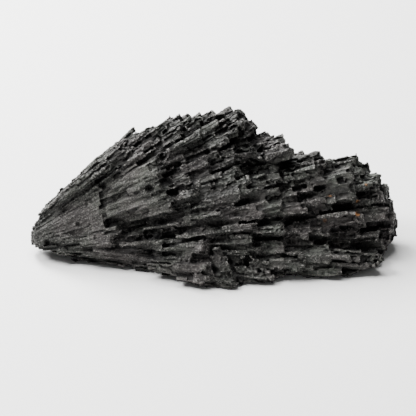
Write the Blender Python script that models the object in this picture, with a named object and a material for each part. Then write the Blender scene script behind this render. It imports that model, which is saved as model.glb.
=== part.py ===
"""Black kyanite: one intergrown fan of bladed crystals, resting on its underside.

The blades spread from a growth centre just behind the blunt tip, and climb away from it in overlapping
rows, like shingles. Lengths are in millimetres and angles in degrees until the finished mesh is scaled.
The fan leans back: u runs to the right from the tip, v runs up the leaning face and n stands out from it.
"""

import math
import random
from collections import namedtuple

import bmesh
import bpy
from mathutils import Matrix, Vector

MM = 0.001

# Driving dimensions
LEAN = math.radians(35.0)
TIP_HEIGHT = 6.6
CENTRE_U, CENTRE_V = -10.3, -3.2
UNDER_CENTRE_Y = 3.0
CORE_LIFT = 1.4
BLADE_SINK = 1.48
NEAREST_ROOT = 17.0
MOST_ROLL = 16.0
CHAMFERED_SHARE = 0.25
SEED = 72

# The surface that the underside is trimmed by, seen from above
GROUND_X = (-32, 136)
GROUND_Y = (-44, 52)
GROUND_STEP = 8
GROUND_DEPTH = 30.0
GROUND_UNEVEN = (0.5, 1.1)
RESTING_PLACES = [(20, 8), (52, -8), (92, 0), (60, 16)]
RESTING_RADIUS = 6.0

# The core under the blades, as cross-sections along u: u, lowest v, highest v, front n, back n
CORE_STATIONS = [
    (0.2, 0.4, 3.4, -4.2, -7.4),
    (1.6, -1.2, 5.6, -2.4, -9.0),
    (4.5, -2.4, 9.4, -1.0, -10.0),
    (9.0, -3.2, 13.4, 0.0, -11.0),
    (14.5, -4.0, 18.4, 0.4, -12.0),
    (20.0, -4.8, 23.4, 0.6, -12.5),
    (28.0, -6.0, 27.6, 0.8, -13.5),
    (40.0, -8.0, 30.0, 1.2, -14.5),
    (55.0, -9.0, 30.0, 1.0, -14.5),
    (70.0, -8.5, 20.5, 0.6, -13.5),
    (84.0, -5.6, 18.0, -1.2, -11.5),
    (92.0, -2.0, 11.0, -3.2, -9.5),
]

# The fan's outline on its face, about the growth centre: angle, radius
REACH = [
    (-8.0, 61.0),
    (-6.5, 70.0),
    (-4.5, 83.0),
    (-2.7, 96.0),
    (-1.0, 104.0),
    (1.0, 108.0),
    (4.0, 110.5),
    (8.5, 110.0),
    (11.0, 106.5),
    (13.4, 103.0),
    (15.6, 95.5),
    (17.0, 87.0),
    (20.4, 83.5),
    (24.7, 79.5),
    (28.2, 77.0),
    (30.5, 74.5),
    (33.2, 67.5),
    (36.0, 60.5),
    (38.0, 54.0),
    (40.0, 47.0),
    (42.0, 39.0),
]

# A grid of blades laid like shingles: rows by radius, each split into columns by angle. ends are the
# blade ends of the first and last row, as shares of the reach, and levels are how far those stand out.
Shingles = namedtuple("Shingles", "name side angles ends levels rows columns length ragged thick")

SHINGLES = [
    Shingles("crest", "face", (21, 40.5), (0.71, 0.96), (2.8, -0.5), 5, 11, 15, 1.5, 4.0),
    Shingles("middle", "face", (8, 22), (0.58, 0.92), (5.5, 2), 6, 7, 15, 2.0, 4.0),
    Shingles("wing", "face", (-1, 16), (0.66, 0.97), (5.5, -1), 6, 10, 16, 2.0, 4.0),
    Shingles("wing_low", "face", (-6.5, 0), (0.80, 0.98), (5, 2.5), 5, 4, 15, 1.5, 4.0),
    Shingles("edge", "face", (-7, 41), (1.0, 1.0), (-3, -3), 1, 26, 18, 0.8, 4.0),
    Shingles("edge_middle", "face", (-6, 41), (0.99, 0.99), (-7, -7), 1, 16, 18, 0.8, 4.0),
    Shingles("edge_back", "back", (-3, 41), (0.97, 0.97), (10.5, 10.5), 1, 12, 18, 1.0, 4.0),
    Shingles("back", "back", (5, 41), (0.42, 0.93), (17, 14), 4, 7, 24, 2.5, 4.5),
]

# Blades side by side in one row. root and ends are radii, levels are those of the root and the end,
# and rough is how unevenly the blades lie, from 0 for flush ones to 1.
Row = namedtuple("Row", "name side angles root ends levels columns ragged thick rough")

ROWS = [
    Row("tip_plates", "face", (8, 39), 16, (32, 36), (-1.2, 1.8), 6, 1.2, 4.5, 0.15),
    Row("rim_outer", "face", (37, 42), 18, (46, 36), (-4.5, -2), 3, 2.5, 4.5, 0.6),
    Row("rim_inner", "face", (31, 40), 18, (40, 40), (-1, 1.6), 4, 2.0, 4.5, 0.5),
    Row("rim_blocks", "face", (33, 41), 28, (48, 46), (-1, 2.4), 4, 2.0, 4.5, 1.0),
    Row("slab", "face", (13, 30), 26, (51, 50), (-0.6, 6), 5, 1.0, 5.0, 0.35),
    Row("slab_foot", "face", (4, 13), 17, (33, 37), (-0.8, 3.5), 2, 1.0, 4.5, 0.3),
    Row("toe", "face", (1, 8), 21, (43, 41), (-1.6, 2.5), 3, 1.5, 4.5, 0.5),
    Row("toe_low", "face", (-4.5, 1), 24, (43, 43), (-2.0, 2.2), 3, 1.2, 4.5, 0.5),
    Row("block_one", "face", (1, 5), 34, (47, 47), (0.5, 4.5), 1, 0.5, 5.0, 1.0),
    Row("block_two", "face", (-5, 0), 40, (54.5, 54.5), (2, 5.5), 1, 0.5, 5.5, 1.0),
    Row("block_three", "face", (0, 4), 44, (58.5, 58.5), (3, 7), 1, 0.5, 5.5, 1.0),
    Row("block_four", "face", (4, 8), 46, (63, 57), (2.5, 6), 2, 0.5, 5.0, 1.0),
    Row("block_five", "face", (8, 12), 46, (62, 61), (3, 5.5), 2, 0.8, 5.0, 1.0),
    Row("lump", "face", (-4.2, -1.8), 50, (58, 58), (5, 8.5), 1, 0.3, 5.0, 1.0),
    Row("foot", "face", (-8, -4), 38, (60, 57), (0, 3), 3, 1.2, 4.5, 0.8),
    Row("wedge", "drape", (-69.5, -64.5), 49, (60.8, 60.8), (5, 7.5), 1, 0.3, 5.0, 0.4),
    Row("drape", "drape", (-64, -54), 53, (64.5, 70), (4.5, 5.2), 6, 0.6, 4.0, 0.5),
    Row("shoulder", "face", (17.4, 20.4), 68, (85.5, 84.5), (-1, 2.4), 2, 0.5, 4.5, 0.6),
    Row("wing_blade", "face", (4.8, 6.8), 80, (99.5, 99.5), (3, 2.6), 1, 0.3, 4.0, 0.2),
    Row("under_near", "under", (-6, 10), 18, (38, 38), (-3.5, 0.2), 5, 3.0, 4.0, 0.8),
    Row("under_middle", "under", (-9, 13), 28, (56, 58), (-1, 0.6), 7, 3.0, 4.0, 0.8),
    Row("under_far", "under", (-7, 12), 48, (74, 76), (-0.6, 0.4), 7, 3.0, 4.0, 0.8),
    Row("under_end", "under", (-4, 11), 64, (88, 92), (-1.5, -3.5), 6, 3.0, 4.0, 0.8),
    Row("rest_tip", "under", (2, 12), 20, (36, 36), (0.0, 1.2), 1, 0.5, 4.0, 0.0),
    Row("rest_front", "under", (-13, -8), 50, (67, 67), (0.4, 1.2), 1, 0.5, 4.0, 0.0),
    Row("rest_end", "under", (-4, 0.5), 86, (105, 105), (0.4, 1.2), 1, 0.5, 4.0, 0.0),
    Row("rest_back", "under", (8, 13), 58, (75, 75), (0.4, 1.2), 1, 0.5, 4.0, 0.0),
]


def leaning(u, v, n):
    """The point (u, v, n) of the leaning frame, with z up and the face towards -y."""
    return Vector((
        u,
        v * math.sin(LEAN) - n * math.cos(LEAN),
        TIP_HEIGHT + v * math.cos(LEAN) + n * math.sin(LEAN),
    ))


# A side of the fan that rows lie on: the centre they spread from, and the directions of angle 0,
# of angle 90 and outward. The drape is a fold of thin blades that runs down across the others.
Side = namedtuple("Side", "centre right up out")
RIGHT = Vector((1, 0, 0))
FACE_UP = leaning(0, 1, 0) - leaning(0, 0, 0)
FACE_OUT = leaning(0, 0, 1) - leaning(0, 0, 0)
SIDES = {
    "face": Side(leaning(CENTRE_U, CENTRE_V, 0), RIGHT, FACE_UP, FACE_OUT),
    "back": Side(leaning(CENTRE_U, CENTRE_V, 0), RIGHT, FACE_UP, -FACE_OUT),
    "drape": Side(leaning(25.1, 45.8, 0), RIGHT, FACE_UP, FACE_OUT),
    "under": Side(Vector((CENTRE_U, UNDER_CENTRE_Y, 0)), RIGHT, Vector((0, 1, 0)), Vector((0, 0, -1))),
}


def mix(pair, share):
    return pair[0] + (pair[1] - pair[0]) * share


def polar(side, radius, degrees, level):
    angle = math.radians(degrees)
    across = side.right * math.cos(angle) + side.up * math.sin(angle)
    return side.centre + across * radius + side.out * level


def reach(degrees):
    """The fan's outline radius at an angle, read between the points of REACH."""
    for (low, near), (high, far) in zip(REACH, REACH[1:]):
        if degrees <= high:
            return mix((near, far), max(0.0, (degrees - low) / (high - low)))
    return REACH[-1][1]


def ground_v(n, height):
    """The v at which the leaning frame's line n meets that height above the ground."""
    return (height - TIP_HEIGHT - n * math.sin(LEAN)) / math.cos(LEAN)


def core_section(u, low, high, front, back):
    """One cross-section of the core, a seven-cornered outline that ends just above the ground."""
    height = high - low
    depth = front - back
    deep = ground_v(back, CORE_LIFT)
    shallow = max(low, ground_v(front, CORE_LIFT))
    corners = [
        (shallow, front - 0.1 * depth),
        (low + 0.55 * height, front),
        (high - 0.08 * height, front - 0.25 * depth),
        (high, front - 0.5 * depth),
        (high - 0.12 * height, back + 0.25 * depth),
        ((high + deep) / 2, back),
        (deep, back + 0.1 * depth),
    ]
    return [leaning(u, v, n) for v, n in corners]


def tube_object(name, rings, collection):
    """A closed tube through the rings of points, with flat ends."""
    mesh = bmesh.new()
    rings = [[mesh.verts.new(point) for point in ring] for ring in rings]
    for near, far in zip(rings, rings[1:]):
        for i, corner in enumerate(near):
            after = (i + 1) % len(near)
            mesh.faces.new((corner, near[after], far[after], far[i]))
    mesh.faces.new(reversed(rings[0]))
    mesh.faces.new(rings[-1])
    bmesh.ops.recalc_face_normals(mesh, faces=mesh.faces)
    data = bpy.data.meshes.new(name)
    mesh.to_mesh(data)
    mesh.free()
    made = bpy.data.objects.new(name, data)
    collection.objects.link(made)
    return made


def blade_outline(thick, dice):
    """The cross-section of a blade one wide: four corners, or six where its long edges are chamfered."""
    left = -0.5 + dice.uniform(0.0, 0.2)
    right = 0.5 - dice.uniform(0.0, 0.2)
    outline = [(-0.5, -thick), (0.5, -thick), (right, 0.0), (left, dice.uniform(-0.3, 0.0))]
    if dice.random() < CHAMFERED_SHARE:
        outline.insert(2, (0.5, -thick * dice.uniform(0.2, 0.4)))
        outline.append((-0.5, -thick * dice.uniform(0.2, 0.5)))
    return outline


def add_blade(blades, root, end, out, width, thick, rough, dice):
    """A blade from root to end, whose outer face looks along out and whose end is cut aslant."""
    along = (end - root).normalized()
    side = along.cross(out).normalized()
    side = Matrix.Rotation(math.radians(dice.uniform(-MOST_ROLL, MOST_ROLL) * rough), 3, along) @ side
    top = side.cross(along)
    outline = blade_outline(thick, dice)
    slant_side = dice.uniform(-0.3, 0.3)
    slant_top = dice.uniform(-0.5, 0.1)
    rings = []
    for centre, scale, slant in ((root, 0.75, 0.0), (end, 1.0, 1.0)):
        ring = []
        for across, height in outline:
            cut = slant * (slant_side * across * width + slant_top * (height + thick / 2))
            ring.append(centre + side * (across * width * scale) + top * height + along * cut)
        rings.append(ring)
    tube_object("blade", rings, blades)


def add_row(blades, row, dice):
    side = SIDES[row.side]
    step = (row.angles[1] - row.angles[0]) / row.columns
    for column in range(row.columns):
        share = (column + 0.5) / row.columns
        angle = mix(row.angles, share) + dice.uniform(-0.2, 0.2) * step
        radius = mix(row.ends, share) + dice.uniform(-1, 1) * row.ragged
        level = row.levels[1] + dice.uniform(-1, 1) * row.rough
        width = radius * math.radians(step) * dice.uniform(0.9, 1.3)
        root = polar(side, row.root, angle, row.levels[0] - BLADE_SINK)
        end = polar(side, radius, angle, level)
        add_blade(blades, root, end, side.out, width, row.thick, row.rough, dice)


def add_shingles(blades, shingles, dice):
    side = SIDES[shingles.side]
    step = (shingles.angles[1] - shingles.angles[0]) / shingles.columns
    for line in range(shingles.rows):
        progress = line / max(1, shingles.rows - 1)
        for column in range(shingles.columns):
            angle = mix(shingles.angles, (column + 0.5 + dice.uniform(-0.35, 0.35)) / shingles.columns)
            radius = reach(angle) * mix(shingles.ends, progress) + dice.uniform(-1, 1) * shingles.ragged
            level = mix(shingles.levels, progress) + dice.uniform(-1, 1)
            near = max(NEAREST_ROOT, radius - shingles.length * dice.uniform(0.8, 1.2))
            width = radius * math.radians(step) * dice.uniform(0.8, 1.3)
            root = polar(side, near, angle, level - BLADE_SINK - dice.uniform(0, 1.5))
            end = polar(side, radius, angle, level)
            add_blade(blades, root, end, side.out, width, shingles.thick, 1.0, dice)


def ground_height(x, y, dice):
    """The height of the trimming surface: 0 about each resting place, slightly higher and uneven elsewhere."""
    nearest = min(math.hypot(x - place_x, y - place_y) for place_x, place_y in RESTING_PLACES)
    return 0.0 if nearest < RESTING_RADIUS else dice.uniform(*GROUND_UNEVEN)


def ground_block(collection, dice):
    """A block with an uneven top, to trim the underside so that it rests on a few places only."""
    mesh = bmesh.new()
    columns = range(GROUND_X[0], GROUND_X[1] + 1, GROUND_STEP)
    lines = range(GROUND_Y[0], GROUND_Y[1] + 1, GROUND_STEP)
    grid = [[mesh.verts.new((x, y, ground_height(x, y, dice))) for x in columns] for y in lines]
    for near, far in zip(grid, grid[1:]):
        for i in range(len(near) - 1):
            mesh.faces.new((near[i], near[i + 1], far[i + 1]))
            mesh.faces.new((near[i], far[i + 1], far[i]))
    grown = bmesh.ops.extrude_face_region(mesh, geom=mesh.faces[:])
    for corner in grown["geom"]:
        if isinstance(corner, bmesh.types.BMVert):
            corner.co.z = -GROUND_DEPTH
    bmesh.ops.recalc_face_normals(mesh, faces=mesh.faces)
    data = bpy.data.meshes.new("ground")
    mesh.to_mesh(data)
    mesh.free()
    made = bpy.data.objects.new("ground", data)
    collection.objects.link(made)
    return made


def apply_modifiers(made):
    shaped = made.evaluated_get(bpy.context.evaluated_depsgraph_get())
    data = bpy.data.meshes.new_from_object(shaped)
    made.modifiers.clear()
    made.data = data


def join_blades(fan, blades):
    """Joins every blade to the core, in one solid."""
    join = fan.modifiers.new("join", "BOOLEAN")
    join.operation = "UNION"
    join.solver = "MANIFOLD"
    join.operand_type = "COLLECTION"
    join.collection = blades
    apply_modifiers(fan)


def trim_at_ground(fan, ground):
    trim = fan.modifiers.new("trim", "BOOLEAN")
    trim.operation = "DIFFERENCE"
    trim.solver = "MANIFOLD"
    trim.object = ground
    apply_modifiers(fan)


def connected(start):
    """The faces that edges join to the start."""
    found = {start}
    waiting = [start]
    while waiting:
        for edge in waiting.pop().edges:
            fresh = set(edge.link_faces) - found
            found |= fresh
            waiting.extend(fresh)
    return found


def fill_pockets(data):
    """Removes the closed pockets that the blades leave inside, so that only the outer skin is left."""
    mesh = bmesh.new()
    mesh.from_mesh(data)
    shells = []
    seen = set()
    for face in mesh.faces:
        if face not in seen:
            shells.append(connected(face))
            seen |= shells[-1]
    shells.sort(key=len)
    inner = [face for shell in shells[:-1] for face in shell]
    bmesh.ops.delete(mesh, geom=inner, context="FACES")
    mesh.to_mesh(data)
    mesh.free()


def stand_on_origin(data):
    """Moves the mesh so that the origin is the middle of its footprint, and scales it to metres."""
    corners = [corner.co for corner in data.vertices]
    low = [min(corner[axis] for corner in corners) for axis in range(3)]
    high = [max(corner[axis] for corner in corners) for axis in range(3)]
    base = Vector(((low[0] + high[0]) / 2, (low[1] + high[1]) / 2, low[2]))
    data.transform(Matrix.Translation(-base))
    data.transform(Matrix.Scale(MM, 4))


def kyanite_material():
    made = bpy.data.materials.new("black_kyanite")
    made.use_nodes = True
    shader = made.node_tree.nodes["Principled BSDF"]
    shader.inputs["Base Color"].default_value = (0.045, 0.045, 0.043, 1.0)
    shader.inputs["Roughness"].default_value = 0.55
    shader.inputs["Metallic"].default_value = 0.0
    return made


def main():
    for old in list(bpy.data.objects):
        bpy.data.objects.remove(old)
    dice = random.Random(SEED)
    scene_objects = bpy.context.scene.collection
    blades = bpy.data.collections.new("blades")
    scene_objects.children.link(blades)

    fan = tube_object("kyanite_fan", [core_section(*station) for station in CORE_STATIONS], scene_objects)
    for row in ROWS:
        add_row(blades, row, dice)
    for shingles in SHINGLES:
        add_shingles(blades, shingles, dice)
    ground = ground_block(scene_objects, dice)

    join_blades(fan, blades)
    trim_at_ground(fan, ground)
    fill_pockets(fan.data)
    for helper in [ground, *blades.objects]:
        bpy.data.objects.remove(helper)
    stand_on_origin(fan.data)
    fan.data.materials.append(kyanite_material())


main()
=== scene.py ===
"""The looks of the black kyanite fan: fine crystals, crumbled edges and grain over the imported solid."""

import math
import random
from collections import namedtuple

import bmesh
import bpy
import numpy as np
from mathutils import Matrix, Vector, noise


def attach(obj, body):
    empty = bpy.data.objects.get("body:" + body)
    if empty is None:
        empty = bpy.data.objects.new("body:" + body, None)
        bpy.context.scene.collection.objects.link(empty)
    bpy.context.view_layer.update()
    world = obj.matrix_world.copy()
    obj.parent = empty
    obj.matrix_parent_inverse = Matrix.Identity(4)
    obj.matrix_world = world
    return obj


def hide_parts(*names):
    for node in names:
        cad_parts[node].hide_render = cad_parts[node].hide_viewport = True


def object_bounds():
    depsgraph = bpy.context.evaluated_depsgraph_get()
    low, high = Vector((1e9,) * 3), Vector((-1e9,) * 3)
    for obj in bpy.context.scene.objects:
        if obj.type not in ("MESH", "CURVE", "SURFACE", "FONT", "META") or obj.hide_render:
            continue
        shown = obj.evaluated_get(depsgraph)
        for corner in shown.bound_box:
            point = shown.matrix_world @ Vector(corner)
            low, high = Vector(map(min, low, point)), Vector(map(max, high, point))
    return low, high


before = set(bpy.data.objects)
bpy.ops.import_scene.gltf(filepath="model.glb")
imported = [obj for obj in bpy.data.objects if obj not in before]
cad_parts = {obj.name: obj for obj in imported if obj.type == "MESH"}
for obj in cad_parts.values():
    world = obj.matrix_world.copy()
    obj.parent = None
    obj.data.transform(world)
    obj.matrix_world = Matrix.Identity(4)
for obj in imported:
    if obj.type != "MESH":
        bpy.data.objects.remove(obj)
CAD_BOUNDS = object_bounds()

# Lengths are in millimetres up to the mesh, which is in metres
MM = 0.001

# The face leans back by this angle. Its frame starts at the blunt tip, which is this high above the
# ground, and the world's origin lies at the footprint's centre, measured from the ground below the tip.
LEAN = math.radians(35.0)
TIP_HEIGHT = 6.6
FOOTPRINT_CENTRE = Vector((50.413, 9.293, 0.0))

# Where the crystals spread from, and the fold of crystals that runs down across them: u, v, n
GROWTH_CENTRE = (-10.3, -3.2, -4.0)
DRAPE_PLACE = (57.5, -6.5, 4.0)
DRAPE_REACH = 6.5
DRAPE_TURN = math.radians(-60.0)

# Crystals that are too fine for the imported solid: how many, and their ranges of length, width, height
# above the surface and reach beyond their place. calm is how much the smooth plates keep them away.
Growth = namedtuple("Growth", "count length width lift end calm")

GROWTHS = [
    Growth(950, (7.0, 15.0), (1.2, 2.6), (0.3, 1.2), (0.3, 2.0), 1.0),
    Growth(1500, (5.0, 12.0), (0.6, 1.2), (0.1, 0.6), (0.1, 0.7), 0.8),
]
SEED = 5

# Fine crystals start at least this far from the growth centre, stray a little from its direction,
# and lean by up to this many radians where the surface faces along them
NEAREST_ROOT = 14.0
STRAYING = 0.06
MOST_ROLL = 2.2

# Specks of rust on the face: u, v, radius and strength
RUST_SPECKS = [
    (89.1, 11.3, 0.5, 0.7),
    (88.8, 7.8, 0.7, 1.0),
    (81.5, 12.7, 0.4, 0.5),
    (91.5, 15.7, 0.4, 0.5),
    (79.9, 6.2, 0.6, 0.25),
]

# Worn places that are lighter than the rest: u, v, radius and how much lighter
WORN_PLACES = [
    (31.0, 21.0, 5.0, 1.3),
    (46.4, -6.0, 3.0, 0.9),
    (51.5, -10.5, 3.5, 0.8),
    (73.0, 13.0, 5.0, 0.3),
]

# Small pits in the plates beside the tip, and the hollow beside the crest: u, v, radius and depth
PITS = [
    (5.1, 0.0, 1.0, 0.9),
    (13.5, 5.0, 0.7, 0.6),
    (33.0, 14.5, 1.3, 0.9),
    (60.0, 22.5, 4.5, 2.2),
]

# The lower edge of the fan as the photograph's view shows it, from the tip to the wing's end: u and v
LOWER_EDGE = [
    (0.0, -1.2),
    (2.0, -2.4),
    (9.0, -4.2),
    (25.0, -6.6),
    (33.0, -8.2),
    (41.0, -9.9),
    (50.0, -12.0),
    (62.0, -12.0),
    (73.0, -10.4),
    (87.0, -8.0),
    (93.7, -5.9),
    (97.5, -2.2),
    (99.6, 2.0),
]
LOWER_EDGE_AXES = list(zip(*LOWER_EDGE))

# The skin: its voxels, the most triangles that are kept, and the heights of its relief
VOXEL = 0.26
MOST_TRIANGLES = 190000
STEP_RELIEF = 0.24
RIDGE_RELIEF = 0.24
CRUMB_RELIEF = 0.16
GRAIN_RELIEF = 0.34
UNDERSIDE_RELIEF = 0.8
BUMP_RELIEF = 0.3

# Slender crystals of the skin: their length, and their widths round the fan and out of its face.
# The way round is measured on an arc of one radius, so that they widen towards the fan's outline.
CRYSTAL_LENGTH = 9.0
CRYSTAL_WIDTH_ROUND = 1.3
CRYSTAL_WIDTH_OUT = 1.5
ARC_RADIUS = 60.0

# Colours: the stone's warm and cool grey in its dark and its pale parts, the light grey of painted
# highlights, rust and floor
DARK_GREYS = ((0.027, 0.024, 0.023), (0.024, 0.026, 0.022))
PALE_GREYS = ((0.051, 0.046, 0.044), (0.045, 0.047, 0.040))
HIGHLIGHT_GREY = (0.25, 0.24, 0.225)
RUST = (0.50, 0.19, 0.03)
FLOOR_GREY = (0.88, 0.88, 0.87)

# A mix node has sockets of several kinds under one name, so its colour sockets go by number
MIX_FACTOR, MIX_BELOW, MIX_ABOVE, MIX_RESULT = 0, 6, 7, 2

# The studio, in metres: the floor's half width, and each light's name, place, size and power
FLOOR_HALF = 1.5
LIGHTS = [
    ("key", (-0.22, 0.34, 0.37), 0.18, 8.5),
    ("side", (-0.34, 0.04, 0.38), 0.18, 4.6),
    ("top", (-0.04, 0.20, 0.56), 0.35, 4.5),
]
LIGHT_TARGET = Vector((0, 0, 0.015))
SKY_STRENGTH = 0.16

# The photograph: its width and the size of a pixel, the camera's distance and where it looks: u, v
PICTURE_WIDTH = 416
PIXEL = 0.27
CAMERA_DISTANCE = 450.0
VIEW_CENTRE = (48.6, 9.45)


def leaning(u, v, n):
    """The world point (u, v, n) millimetres from the tip: u right, v up the leaning face, n out of it."""
    return (Vector((
        u,
        v * math.sin(LEAN) - n * math.cos(LEAN),
        TIP_HEIGHT + v * math.cos(LEAN) + n * math.sin(LEAN),
    )) - FOOTPRINT_CENTRE) * MM


RIGHT = Vector((1, 0, 0))
FACE_UP = (leaning(0, 1, 0) - leaning(0, 0, 0)) / MM
FACE_OUT = (leaning(0, 0, 1) - leaning(0, 0, 0)) / MM
CENTRE = leaning(*GROWTH_CENTRE)


def rise(value, low, high):
    """0 up to low and 1 from high on, even between them. It falls where high is less than low."""
    return min(1.0, max(0.0, (value - low) / (high - low)))


def face_place(point):
    """(u, v, n) of a world point, in millimetres."""
    away = (point - leaning(0, 0, 0)) / MM
    return away.dot(RIGHT), away.dot(FACE_UP), away.dot(FACE_OUT)


def flow(point):
    """The direction that the crystals at a point grow in: away from the growth centre, or down the drape."""
    if (point - leaning(*DRAPE_PLACE)).length < DRAPE_REACH * MM:
        return RIGHT * math.cos(DRAPE_TURN) + FACE_UP * math.sin(DRAPE_TURN)
    return (point - CENTRE).normalized()


def spread(point):
    """The radius in millimetres and the angle in degrees of a point about the growth centre, on the face."""
    away = (point - CENTRE) / MM
    across, up = away.dot(RIGHT), away.dot(FACE_UP)
    return math.hypot(across, up), math.degrees(math.atan2(up, across))


def grain_coordinates(point):
    """A point's place along the growth, round it and out of the face, in millimetres."""
    away = (point - CENTRE) / MM
    across, up, out = away.dot(RIGHT), away.dot(FACE_UP), away.dot(FACE_OUT)
    return Vector((math.hypot(across, up), math.atan2(up, across) * ARC_RADIUS, out))


def paleness(point):
    """How pale and smooth a place is: 1 on the plates beside the tip, 0 on the crest and the wing."""
    radius, angle = spread(point)
    plates = rise(radius, 52, 47) * rise(angle, 9, 13) * rise(angle, 33, 29)
    tip = rise(radius, 37, 30) * (0.1 + 0.75 * rise(radius, 18, 28))
    blocks = 0.45 * rise(radius, 64, 56) * rise(angle, 12, 8)
    front = rise(face_place(point)[2], -9, -5)
    return max(plates, tip, blocks) * front


def calmness(point):
    """How few fine crystals grow at a place: 1 on the pale plates, somewhat less on the low blocks."""
    radius, angle = spread(point)
    front = rise(face_place(point)[2], -6, -4)
    blocks = 0.85 * rise(radius, 36, 40) * rise(radius, 68, 64) * rise(angle, 6, 3) * front
    return max(paleness(point), blocks)


def spot_strength(point, spots, core):
    """The strength of the spot that a point lies in: full in the spot's core, 0 outside and on the back."""
    u, v, n = face_place(point)
    most = 0.0
    for at_u, at_v, size, strength in spots:
        most = max(most, strength * rise(math.hypot(u - at_u, v - at_v), size, core * size))
    return most * rise(n, -8, -6)


def lightness(point):
    """How light the grey of a place is: under 1 at the blunt tip, where this is painted shade, and over 1 on
    the wing and worn places.
    """
    radius, angle = spread(point)
    wing = rise(radius, 60, 78) * rise(angle, 22, 14)
    low = 0.8 * rise(radius, 35, 50) * rise(angle, 0, -6)
    wear = spot_strength(point, WORN_PLACES, 0.3)
    # Painted shade: the grey darkens towards the blunt tip, which faces the side light.
    return 0.2 + 0.85 * rise(radius, 10, 28) + 0.7 * max(wing, low) + wear


def rustiness(point):
    return spot_strength(point, RUST_SPECKS, 0.4)


def pit_depth(point):
    return spot_strength(point, PITS, 0.5)


def fan_copy(name):
    """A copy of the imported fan's mesh, welded closed."""
    mesh = bmesh.new()
    mesh.from_mesh(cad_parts["kyanite_fan"].data)
    mesh.transform(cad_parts["kyanite_fan"].matrix_world)
    bmesh.ops.remove_doubles(mesh, verts=mesh.verts, dist=0.001 * MM)
    bmesh.ops.triangulate(mesh, faces=mesh.faces)
    data = bpy.data.meshes.new(name)
    mesh.to_mesh(data)
    mesh.free()
    made = bpy.data.objects.new(name, data)
    bpy.context.scene.collection.objects.link(made)
    return made


def crystal_frame(point, normal, dice):
    """Axes of a fine crystal at a place on the surface: along it, across it and out of the surface."""
    wobble = Vector((dice.gauss(0, 1), dice.gauss(0, 1), dice.gauss(0, 1))) * STRAYING
    along = (flow(point) + wobble).normalized()
    out = normal - along * normal.dot(along)
    if out.length < 0.5:
        out = FACE_OUT - along * FACE_OUT.dot(along)
        out = Matrix.Rotation(dice.uniform(-MOST_ROLL, MOST_ROLL), 3, along) @ out
    out.normalize()
    return along, along.cross(out), out


def add_crystal(points, faces, growth, place, normal, dice):
    """A small tapered blade with a slanted end, sunk in the surface except for its outer face and end."""
    along, across, out = crystal_frame(place, normal, dice)
    radius = spread(place)[0]
    fullness = 0.4 + 0.6 * rise(radius, 25, 58)
    length = min(dice.uniform(*growth.length) * fullness, radius - NEAREST_ROOT)
    width = dice.uniform(*growth.width) * fullness
    lift = dice.uniform(*growth.lift) * fullness
    end = dice.uniform(*growth.end)
    depth = dice.uniform(1.0, 2.0)
    slant = dice.uniform(-0.4, 0.4)
    outline = ((-0.5, -depth), (0.5, -depth), (0.4, lift), (-0.4, lift))
    first = len(points)
    for at, scale, skew in ((end - length, 0.6, 0.0), (end, 1.0, slant)):
        for side, height in outline:
            offset = along * (at + skew * side * width) + across * side * width * scale + out * height
            points.append(place + offset * MM)
    quads = ((3, 2, 1, 0), (4, 5, 6, 7), (0, 1, 5, 4), (1, 2, 6, 5), (2, 3, 7, 6), (3, 0, 4, 7))
    faces.extend([tuple(first + corner for corner in quad) for quad in quads])


def grow_crystals(fan, dice):
    """Adds the fine crystals to the fan's mesh as closed shapes, for the remesh to join."""
    triangles = list(fan.data.polygons)
    weights = [face.area for face in triangles]
    points = [corner.co.copy() for corner in fan.data.vertices]
    faces = [tuple(face.vertices) for face in triangles]
    corners = [[points[i].copy() for i in face] for face in faces]
    for growth in GROWTHS:
        for choice in dice.choices(range(len(triangles)), weights=weights, k=growth.count):
            a, b = sorted((dice.random(), dice.random()))
            first, second, third = corners[choice]
            place = first * a + second * (b - a) + third * (1 - b)
            roomy = spread(place)[0] > NEAREST_ROOT + growth.length[0]
            if roomy and dice.random() > growth.calm * calmness(place):
                add_crystal(points, faces, growth, place, triangles[choice].normal, dice)
    data = bpy.data.meshes.new("kyanite_crystals")
    data.from_pydata(points, [], faces)
    fan.data = data


def apply_modifiers(made):
    shaped = made.evaluated_get(bpy.context.evaluated_depsgraph_get())
    data = bpy.data.meshes.new_from_object(shaped)
    made.modifiers.clear()
    made.data = data


def fuse(fan):
    """Joins the overlapping shapes in one skin of small even faces."""
    remesh = fan.modifiers.new("fuse", "REMESH")
    remesh.mode = "VOXEL"
    remesh.voxel_size = VOXEL * MM
    apply_modifiers(fan)


def above_lower_edge(point):
    """How far up the leaning face a point lies from the fan's lower edge, in millimetres."""
    u, v = face_place(point)[:2]
    return v - np.interp(u, *LOWER_EDGE_AXES)


def lift_lower_edge(data):
    """Lifts what lies lower than the fan's lower edge, so that its front curves in towards the ground."""
    for corner in data.vertices:
        lift = -above_lower_edge(corner.co)
        if lift > 0:
            corner.co += FACE_UP * lift * MM


def crystal_step(along, around, out):
    """The level of the slender crystal at a place, from -1 to 1: each ends at its own length."""
    column = math.floor(around / CRYSTAL_WIDTH_ROUND) + 0.5
    layer = math.floor(out / CRYSTAL_WIDTH_OUT) + 0.5
    start = noise.cell(Vector((0.5, column, layer))) * CRYSTAL_LENGTH
    return noise.cell(Vector(((along + start) / CRYSTAL_LENGTH, column, layer))) * 2.0 - 1.0


def even_noise(point, bumps):
    """Noise with so many bumps to a millimetre."""
    return noise.noise(point / MM * bumps)


def grain_noise(grain, lengthwise, crosswise):
    """Noise with so many bumps to a millimetre along the growth, and so many across it."""
    return noise.noise(Vector((grain.x * lengthwise, grain.y * crosswise, grain.z * crosswise)))


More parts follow.
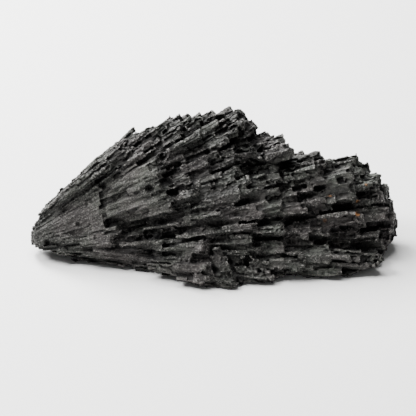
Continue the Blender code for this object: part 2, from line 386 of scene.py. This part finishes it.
def roughness_height(point, smoothness):
    """How far the crumbled surface stands out at a point, in millimetres."""
    grain = grain_coordinates(point)
    wander = even_noise(point, 0.5) * 0.5
    steps = crystal_step(grain.x, grain.y + wander, grain.z + wander) * STEP_RELIEF
    ridges = grain_noise(grain, 0.12, 1.1) * RIDGE_RELIEF
    crumbs = grain_noise(grain, 1.3, 1.6) * CRUMB_RELIEF
    granular = rise(even_noise(point, 0.13), -0.05, 0.2)
    grains = even_noise(point, 1.5) * GRAIN_RELIEF * granular
    return (steps + ridges + crumbs + grains) * (1.0 - 0.6 * smoothness) + wander * 0.2


def crumble(data):
    """Moves the skin in and out by its grain."""
    normals = [corner.normal.copy() for corner in data.vertices]
    for corner, normal in zip(data.vertices, normals):
        height = roughness_height(corner.co, paleness(corner.co)) - pit_depth(corner.co)
        corner.co += normal * height * MM


def crumble_underside(data):
    """Raises what would lie flat on the ground to the levels of slender crystals, behind the lower edge."""
    for corner in data.vertices:
        if corner.co.z < UNDERSIDE_RELIEF * MM:
            level = 0.5 + 0.5 * crystal_step(*grain_coordinates(corner.co))
            crumbs = 0.3 * even_noise(corner.co, 1.5)
            behind = rise(above_lower_edge(corner.co), 0.5, 2.0)
            corner.co.z = max(corner.co.z, UNDERSIDE_RELIEF * (level + crumbs) * behind * MM)


def keep_inside(data):
    """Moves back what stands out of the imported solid's bounds."""
    low, high = CAD_BOUNDS
    for corner in data.vertices:
        corner.co = [min(max(corner.co[axis], low[axis]), high[axis]) for axis in range(3)]


def thin_out(fan):
    """Merges the smallest steps of the skin until the most triangles that are kept are left."""
    triangles = sum(len(face.vertices) - 2 for face in fan.data.polygons)
    thin = fan.modifiers.new("thin", "DECIMATE")
    thin.ratio = min(1.0, MOST_TRIANGLES / triangles)
    apply_modifiers(fan)


def shell_of(start, waiting):
    """Takes the faces joined to a face by their edges out of those waiting, and returns them."""
    waiting.discard(start)
    shell = [start]
    for face in shell:
        for edge in face.edges:
            for other in edge.link_faces:
                if other in waiting:
                    waiting.discard(other)
                    shell.append(other)
    return shell


def drop_crumbs(data):
    """Removes the loose crumbs and closed bubbles: every shell but the largest."""
    mesh = bmesh.new()
    mesh.from_mesh(data)
    waiting = set(mesh.faces)
    shells = []
    for face in mesh.faces:
        if face in waiting:
            shells.append(shell_of(face, waiting))
    shells.sort(key=len)
    crumbs = [face for shell in shells[:-1] for face in shell]
    bmesh.ops.delete(mesh, geom=crumbs, context="FACES")
    mesh.to_mesh(data)
    mesh.free()


def store_numbers(data, name, values):
    made = data.attributes.new(name, "FLOAT", "POINT")
    made.data.foreach_set("value", values)


def store_looks(data):
    """Keeps on the mesh what the material goes by: the grain, crystal ends, paleness, lightness and rust."""
    grain = data.attributes.new("grain", "FLOAT_VECTOR", "POINT")
    values = np.array([grain_coordinates(corner.co)[:] for corner in data.vertices], np.float32)
    grain.data.foreach_set("vector", values.ravel())
    facing = [corner.normal.dot(flow(corner.co)) for corner in data.vertices]
    store_numbers(data, "ends", [rise(share, 0.25, 0.7) for share in facing])
    for name, look in (("pale", paleness), ("light", lightness), ("rust", rustiness)):
        store_numbers(data, name, [look(corner.co) for corner in data.vertices])


def node(tree, kind, **settings):
    made = tree.nodes.new(kind)
    for name, value in settings.items():
        setattr(made, name, value)
    return made


def stored(tree, name, output="Fac"):
    """What the mesh keeps under a name."""
    return node(tree, "ShaderNodeAttribute", attribute_name=name).outputs[output]


def stretched(tree, source, scale):
    """A vector scaled by axis."""
    mapping = node(tree, "ShaderNodeMapping")
    mapping.inputs["Scale"].default_value = scale
    tree.links.new(source, mapping.inputs["Vector"])
    return mapping.outputs["Vector"]


def noise_texture(tree, vector, scale, detail, rough):
    made = node(tree, "ShaderNodeTexNoise")
    made.inputs["Scale"].default_value = scale
    made.inputs["Detail"].default_value = detail
    made.inputs["Roughness"].default_value = rough
    tree.links.new(vector, made.inputs["Vector"])
    return made.outputs["Fac"]


def ramp(tree, source, stops):
    """A colour ramp with the given (position, colour) stops."""
    made = node(tree, "ShaderNodeValToRGB")
    elements = made.color_ramp.elements
    while len(elements) < len(stops):
        elements.new(0.5)
    for element, (position, colour) in zip(elements, stops):
        element.position = position
        element.color = (*colour, 1.0)
    tree.links.new(source, made.inputs["Fac"])
    return made.outputs["Color"]


def grey(value):
    return (value, value, value)


def grey_ramp(tree, source, low, high):
    """Greys that run from one (position, value) to another."""
    return ramp(tree, source, [(low[0], grey(low[1])), (high[0], grey(high[1]))])


def mixed(tree, factor, below, above, blend="MIX"):
    """Two colours mixed by a factor, each a value or a socket."""
    made = node(tree, "ShaderNodeMix", data_type="RGBA", blend_type=blend)
    for number, value in ((MIX_FACTOR, factor), (MIX_BELOW, below), (MIX_ABOVE, above)):
        socket = made.inputs[number]
        if isinstance(value, bpy.types.NodeSocket):
            tree.links.new(value, socket)
        elif isinstance(value, tuple):
            socket.default_value = (*value, 1.0)
        else:
            socket.default_value = value
    return made.outputs[MIX_RESULT]


def multiplied(tree, colour, shade, share=1.0):
    return mixed(tree, share, colour, shade, "MULTIPLY")


def crystal_cells(tree, vector):
    """A random number for each long cell of the grain, and the distance from the cell's seams."""
    cells = node(tree, "ShaderNodeTexVoronoi")
    seams = node(tree, "ShaderNodeTexVoronoi", feature="DISTANCE_TO_EDGE")
    for made in (cells, seams):
        made.inputs["Scale"].default_value = 1.0
        tree.links.new(vector, made.inputs["Vector"])
    return cells.outputs["Color"], seams.outputs["Distance"]


def stone_colour(tree, millimetres, streaks, strands):
    """The grey of the stone: warm and cool in patches, streaked, and different from strand to strand."""
    patches = noise_texture(tree, millimetres, 0.11, 2.0, 0.5)
    greys = [ramp(tree, patches, [(0.40, warm), (0.62, cool)]) for warm, cool in (DARK_GREYS, PALE_GREYS)]
    # The stored lightness includes painted shade at the blunt tip.
    tone = multiplied(tree, mixed(tree, stored(tree, "pale"), *greys), stored(tree, "light", "Color"))
    tone = multiplied(tree, tone, grey_ramp(tree, streaks, (0.35, 0.45), (0.62, 1.35)))
    return multiplied(tree, tone, grey_ramp(tree, strands, (0.1, 0.55), (0.9, 1.35)))


def highlight_share(tree, specks):
    """How much painted highlight shows: most on sharp edges and crystal ends, broken up in specks."""
    sharpness = node(tree, "ShaderNodeNewGeometry").outputs["Pointiness"]
    edges = grey_ramp(tree, sharpness, (0.50, 0.08), (0.56, 1.0))
    edges = mixed(tree, stored(tree, "pale"), edges, grey(0.45))
    edges = mixed(tree, stored(tree, "ends"), edges, grey(0.8))
    return multiplied(tree, grey_ramp(tree, specks, (0.52, 0.0), (0.62, 1.0)), edges)


def gap_shade(tree):
    """Painted shade: nearly black in the gaps between crystals, where ambient occlusion finds them, and
    white in the open.
    """
    hollow = node(tree, "ShaderNodeAmbientOcclusion")
    hollow.inputs["Distance"].default_value = 3.5 * MM
    return grey_ramp(tree, hollow.outputs["AO"], (0.48, 0.02), (0.88, 1.0))


def bumped(tree, height, strength):
    """A bump node of the stone's finest relief."""
    made = node(tree, "ShaderNodeBump")
    made.inputs["Strength"].default_value = strength
    made.inputs["Distance"].default_value = BUMP_RELIEF * MM
    tree.links.new(height, made.inputs["Height"])
    return made


def kyanite_material():
    """Dark stone, striated along its growth, with painted highlights on its edges, painted black shade in
    its gaps and a few specks of rust.
    """
    made = bpy.data.materials.new("black_kyanite")
    made.use_nodes = True
    tree = made.node_tree
    shader = tree.nodes["Principled BSDF"]
    shader.inputs["Specular IOR Level"].default_value = 0.25

    grain = stored(tree, "grain", "Vector")
    millimetres = stretched(tree, node(tree, "ShaderNodeTexCoord").outputs["Object"], (1000, 1000, 1000))
    streaks = noise_texture(tree, stretched(tree, grain, (0.12, 1.2, 1.2)), 1.0, 4.0, 0.65)
    specks = noise_texture(tree, millimetres, 2.2, 3.0, 0.75)
    strands, seams = crystal_cells(tree, stretched(tree, grain, (0.13, 0.85, 0.85)))

    colour = stone_colour(tree, millimetres, streaks, strands)
    # Painted highlights: a light grey mixed in on sharp edges and crystal ends, broken up in specks.
    colour = mixed(tree, highlight_share(tree, specks), colour, HIGHLIGHT_GREY)
    # Painted shade: the colour darkens along the seams between the crystal cells, like shade in the grooves
    # between blades.
    colour = multiplied(tree, colour, grey_ramp(tree, seams, (0.0, 0.25), (0.08, 1.0)), 0.5)
    colour = mixed(tree, stored(tree, "rust"), colour, RUST)
    # Painted shade from ambient occlusion darkens the colour in the gaps between crystals.
    colour = multiplied(tree, colour, gap_shade(tree))
    tree.links.new(colour, shader.inputs["Base Color"])
    tree.links.new(grey_ramp(tree, specks, (0.40, 0.62), (0.62, 0.42)), shader.inputs["Roughness"])

    coarse = bumped(tree, streaks, 0.6)
    fine = bumped(tree, specks, 1.0)
    tree.links.new(coarse.outputs["Normal"], fine.inputs["Normal"])
    tree.links.new(fine.outputs["Normal"], shader.inputs["Normal"])
    return made


def build_fan():
    dice = random.Random(SEED)
    fan = fan_copy("kyanite_visual")
    grow_crystals(fan, dice)
    fuse(fan)
    lift_lower_edge(fan.data)
    crumble(fan.data)
    crumble_underside(fan.data)
    keep_inside(fan.data)
    thin_out(fan)
    drop_crumbs(fan.data)
    keep_inside(fan.data)
    store_looks(fan.data)
    fan.data.materials.clear()
    fan.data.materials.append(kyanite_material())
    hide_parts("kyanite_fan")
    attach(fan, "root")


def plain_material(name, colour, rough):
    made = bpy.data.materials.new(name)
    made.use_nodes = True
    shader = made.node_tree.nodes["Principled BSDF"]
    shader.inputs["Base Color"].default_value = (*colour, 1.0)
    shader.inputs["Roughness"].default_value = rough
    return made


def build_floor():
    half = FLOOR_HALF
    data = bpy.data.meshes.new("floor")
    corners = [(-half, -half, 0), (half, -half, 0), (half, half, 0), (-half, half, 0)]
    data.from_pydata(corners, [], [(0, 1, 2, 3)])
    data.materials.append(plain_material("floor", FLOOR_GREY, 0.7))
    floor = bpy.data.objects.new("floor", data)
    bpy.context.scene.collection.objects.link(floor)


def add_area_light(name, place, size, power):
    data = bpy.data.lights.new(name, "AREA")
    data.size = size
    data.energy = power
    lamp = bpy.data.objects.new(name, data)
    bpy.context.scene.collection.objects.link(lamp)
    lamp.location = place
    lamp.rotation_mode = "QUATERNION"
    lamp.rotation_quaternion = (Vector(place) - LIGHT_TARGET).to_track_quat("Z", "Y")


def build_lights():
    for light in LIGHTS:
        add_area_light(*light)
    world = bpy.data.worlds.new("studio")
    bpy.context.scene.world = world
    world.use_nodes = True
    background = world.node_tree.nodes["Background"]
    background.inputs["Color"].default_value = (1.0, 1.0, 1.0, 1.0)
    background.inputs["Strength"].default_value = SKY_STRENGTH


def build_camera():
    """The photograph's view, square on to the leaning face."""
    half_width = PICTURE_WIDTH / 2 * PIXEL
    data = bpy.data.cameras.new("camera")
    data.sensor_width = 36.0
    data.lens = data.sensor_width / 2 * CAMERA_DISTANCE / half_width
    data.clip_start = 0.01
    camera = bpy.data.objects.new("camera", data)
    bpy.context.scene.collection.objects.link(camera)
    camera.location = leaning(*VIEW_CENTRE, CAMERA_DISTANCE)
    camera.rotation_mode = "QUATERNION"
    camera.rotation_quaternion = FACE_OUT.to_track_quat("Z", "Y")
    bpy.context.scene.camera = camera


build_camera()
build_fan()
build_floor()
build_lights()
